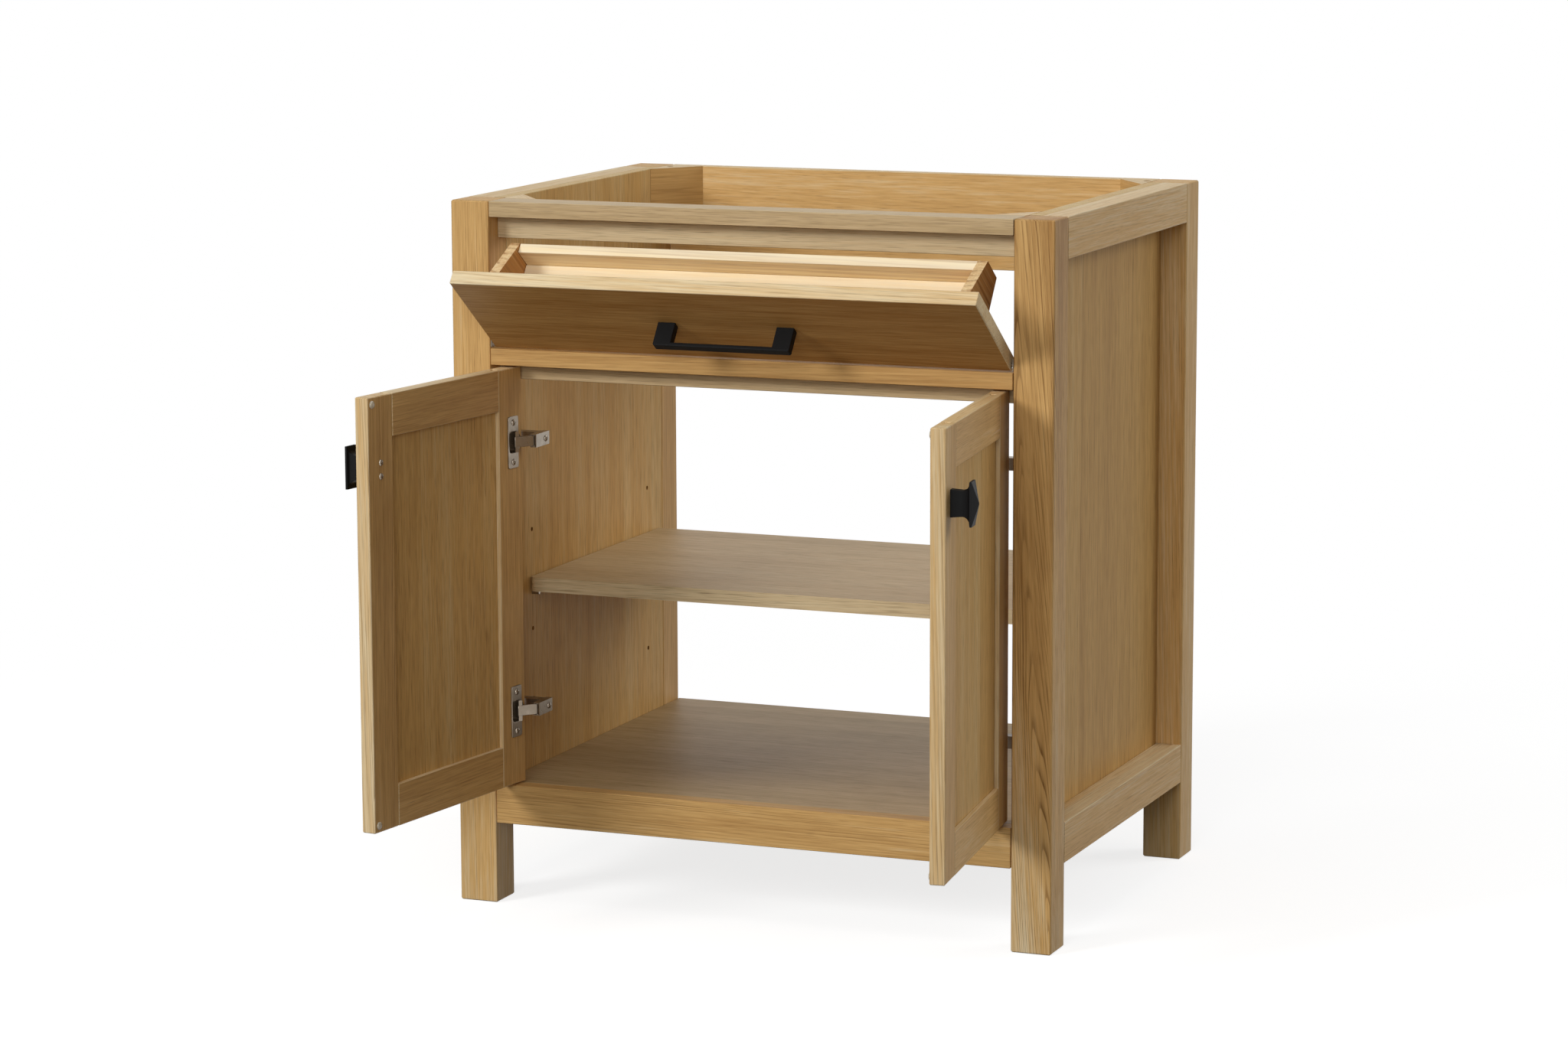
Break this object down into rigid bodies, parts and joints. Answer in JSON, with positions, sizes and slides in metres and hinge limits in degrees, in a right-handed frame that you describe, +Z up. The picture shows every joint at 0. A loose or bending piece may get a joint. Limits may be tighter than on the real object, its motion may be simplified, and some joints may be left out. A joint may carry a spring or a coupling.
{
  "type": "vanity unit",
  "caption": "Open-top wooden bathroom vanity on square legs with framed doors on concealed hinges, a tilt-out tray front and a loose shelf on pins.",
  "frame": {"origin": "on the floor, in the middle of the overall box with the doors and the tilt front open as stored", "axes": "+Z up, +Y to the wall behind, so the front looks along -Y, and +X to the right seen from the front"},
  "size_m": [0.7742, 0.8686, 0.86],
  "materials": {
    "honey_oak": "clear satin lacquer on honey-coloured oak",
    "side_oak": "clear satin lacquer on honey-coloured oak",
    "tray_pine": "clear matt lacquer on pale pine",
    "black_metal": "black satin coating",
    "nickel_steel": "nickel plated steel"
  },
  "bodies": {
    "cabinet": {"bottom_panel": "honey_oak", "corner_brace_front_left": "honey_oak", "corner_brace_front_right": "honey_oak", "corner_brace_rear_left": "honey_oak", "corner_brace_rear_right": "honey_oak", "door_stop_rail": "honey_oak", "front_bottom_rail": "honey_oak", "front_mid_rail": "honey_oak", "front_top_rail": "honey_oak", "hinge_arm_left_lower": "nickel_steel", "hinge_arm_left_upper": "nickel_steel", "hinge_arm_right_lower": "nickel_steel", "hinge_arm_right_upper": "nickel_steel", "post_front_left": "honey_oak", "post_front_right": "honey_oak", "post_rear_left": "honey_oak", "post_rear_right": "honey_oak", "rear_bottom_rail": "honey_oak", "rear_top_board": "honey_oak", "shelf_pin_front_left": "nickel_steel", "shelf_pin_front_right": "nickel_steel", "shelf_pin_rear_left": "nickel_steel", "shelf_pin_rear_right": "nickel_steel", "side_bottom_rail_left": "side_oak", "side_bottom_rail_right": "side_oak", "side_panel_left": "side_oak", "side_panel_right": "side_oak", "side_top_rail_left": "side_oak", "side_top_rail_right": "side_oak", "tilt_pivot_left": "nickel_steel", "tilt_pivot_right": "nickel_steel", "tray_stop_rail": "honey_oak"},
    "left_door": {"hinge_cup_left_lower": "nickel_steel", "hinge_cup_left_upper": "nickel_steel", "left_door_bottom_rail": "honey_oak", "left_door_free_stile": "honey_oak", "left_door_hinge_stile": "honey_oak", "left_door_knob": "black_metal", "left_door_panel": "honey_oak", "left_door_top_rail": "honey_oak"},
    "right_door": {"hinge_cup_right_lower": "nickel_steel", "hinge_cup_right_upper": "nickel_steel", "right_door_bottom_rail": "honey_oak", "right_door_free_stile": "honey_oak", "right_door_hinge_stile": "honey_oak", "right_door_knob": "black_metal", "right_door_panel": "honey_oak", "right_door_top_rail": "honey_oak"},
    "left_hinge_links": {"hinge_link_left_lower": "nickel_steel", "hinge_link_left_upper": "nickel_steel"},
    "right_hinge_links": {"hinge_link_right_lower": "nickel_steel", "hinge_link_right_upper": "nickel_steel"},
    "tilt_front": {"tilt_front": "honey_oak", "tilt_handle": "black_metal", "tray_back": "tray_pine", "tray_bottom": "tray_pine", "tray_end_left": "tray_pine", "tray_end_right": "tray_pine"},
    "shelf": {"shelf": "honey_oak"}
  },
  "joints": [
    {"name": "left_door_hinge", "type": "hinge", "parent": "cabinet", "child": "left_door", "pos_m": [-0.3135, -0.12315, 0], "axis": [0, 0, 1], "range_deg": [-8, 97]},
    {"name": "right_door_hinge", "type": "hinge", "parent": "cabinet", "child": "right_door", "pos_m": [0.3135, -0.12315, 0], "axis": [0, 0, -1], "range_deg": [-8, 97]},
    {"name": "left_link_turn", "type": "hinge", "parent": "cabinet", "child": "left_hinge_links", "pos_m": [-0.2855, -0.10765, 0], "axis": [0, 0, 1], "range_deg": [-49, 5]},
    {"name": "right_link_turn", "type": "hinge", "parent": "cabinet", "child": "right_hinge_links", "pos_m": [0.2855, -0.10765, 0], "axis": [0, 0, -1], "range_deg": [-49, 5]},
    {"name": "tilt_front_hinge", "type": "hinge", "parent": "cabinet", "child": "tilt_front", "pos_m": [0, -0.12515, 0.6915], "axis": [-1, 0, 0], "range_deg": [0, 54]},
    {"name": "shelf_lift", "type": "slide", "parent": "cabinet", "child": "shelf", "axis": [0, 0, 1], "range_m": [0, 0.05]}
  ],
  "couplings": [
    {"joint": "left_link_turn", "follows": "left_door_hinge", "ratio": -0.5},
    {"joint": "right_link_turn", "follows": "right_door_hinge", "ratio": -0.5}
  ]
}
